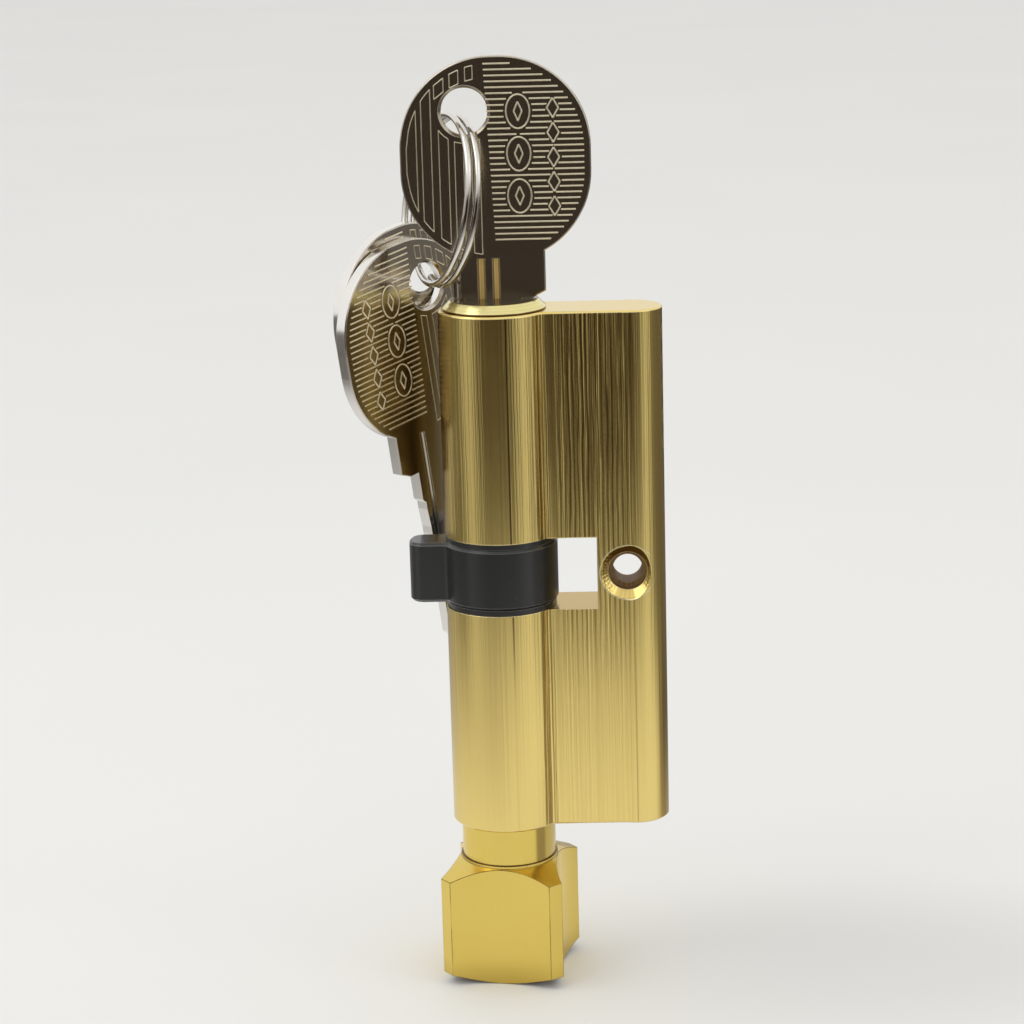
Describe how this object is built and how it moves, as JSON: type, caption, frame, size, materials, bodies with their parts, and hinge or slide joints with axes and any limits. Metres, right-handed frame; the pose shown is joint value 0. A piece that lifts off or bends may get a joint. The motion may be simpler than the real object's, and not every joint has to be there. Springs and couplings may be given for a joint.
{
  "type": "euro-profile lock cylinder with thumbturn",
  "caption": "Euro-profile door lock cylinder with a square thumbturn knob, a turning cam, a key in its plug, and spare keys on a split ring through that key's bow.",
  "frame": {"origin": "middle of the knob's flat foot, on the turning axis", "axes": "+Z along the turning axis from the knob to the key; +X along the leg of the euro profile; +Y to the far side of the picture, away from the fixing hole's countersink"},
  "size_m": [0.0488, 0.0292, 0.1425],
  "materials": {
    "housing_brass": "drawn bar, polished, with fine lines along the axis",
    "plug_brass": "turned and polished",
    "knob_brass": "polished, smooth",
    "pin_brass": "turned",
    "cam_steel": "black oxide, satin",
    "clip_steel": "black oxide",
    "spring_steel": "drawn wire",
    "key_nickel": "nickel-plated brass, polished",
    "ring_steel": "nickel-plated steel wire, polished"
  },
  "bodies": {
    "housing": {"housing": "housing_brass", "chamber_plugs": "plug_brass", "driver_pin_1": "pin_brass", "driver_pin_2": "pin_brass", "driver_pin_3": "pin_brass", "driver_pin_4": "pin_brass", "driver_pin_5": "pin_brass", "pin_spring_1": "spring_steel", "pin_spring_2": "spring_steel", "pin_spring_3": "spring_steel", "pin_spring_4": "spring_steel", "pin_spring_5": "spring_steel"},
    "key_plug": {"key_plug": "plug_brass", "key_plug_clip": "clip_steel", "coupler": "pin_brass", "coupler_spring": "spring_steel", "key_pin_1": "pin_brass", "key_pin_2": "pin_brass", "key_pin_3": "pin_brass", "key_pin_4": "pin_brass", "key_pin_5": "pin_brass"},
    "cam": {"cam": "cam_steel"},
    "thumbturn": {"knob": "knob_brass", "spindle": "plug_brass", "spindle_clip": "clip_steel", "cam_tongue": "clip_steel", "grub_screw": "clip_steel"},
    "key": {"key_in_plug": "key_nickel"},
    "key_ring": {"split_ring": "ring_steel"},
    "spare_key_1": {"spare_key_front": "key_nickel"},
    "spare_key_2": {"spare_key_rear": "key_nickel"}
  },
  "joints": [
    {"name": "thumb_turn", "type": "hinge", "parent": "housing", "child": "thumbturn", "pos_m": [0, 0, 0.0652], "axis": [0, 0, 1], "range_deg": [-60, 140]},
    {"name": "cam_turn", "type": "hinge", "parent": "housing", "child": "cam", "pos_m": [0, 0, 0.0652], "axis": [0, 0, 1], "range_deg": [-60, 140]},
    {"name": "key_turn", "type": "hinge", "parent": "housing", "child": "key_plug", "pos_m": [0, 0, 0.0652], "axis": [0, 0, 1], "range_deg": [-60, 140]},
    {"name": "key_slide", "type": "slide", "parent": "key_plug", "child": "key", "axis": [0, 0, 1], "range_m": [0, 0.031]},
    {"name": "ring_swing", "type": "hinge", "parent": "key", "child": "key_ring", "pos_m": [-0.0039, 0, 0.13276], "axis": [-0.292, 0.8983, 0.3282], "range_deg": [0, 30]},
    {"name": "spare_key_1_swing", "type": "hinge", "parent": "key_ring", "child": "spare_key_1", "pos_m": [-0.01122, 0.0068, 0.10964], "axis": [0.7547, -0.6561, 0], "range_deg": [-20, 15]},
    {"name": "spare_key_2_swing", "type": "hinge", "parent": "key_ring", "child": "spare_key_2", "pos_m": [-0.01193, 0.0093, 0.11106], "axis": [0.7547, -0.6561, 0], "range_deg": [-20, 15]}
  ],
  "couplings": [
    {"joint": "cam_turn", "follows": "thumb_turn", "ratio": 1},
    {"joint": "key_turn", "follows": "thumb_turn", "ratio": 1}
  ]
}
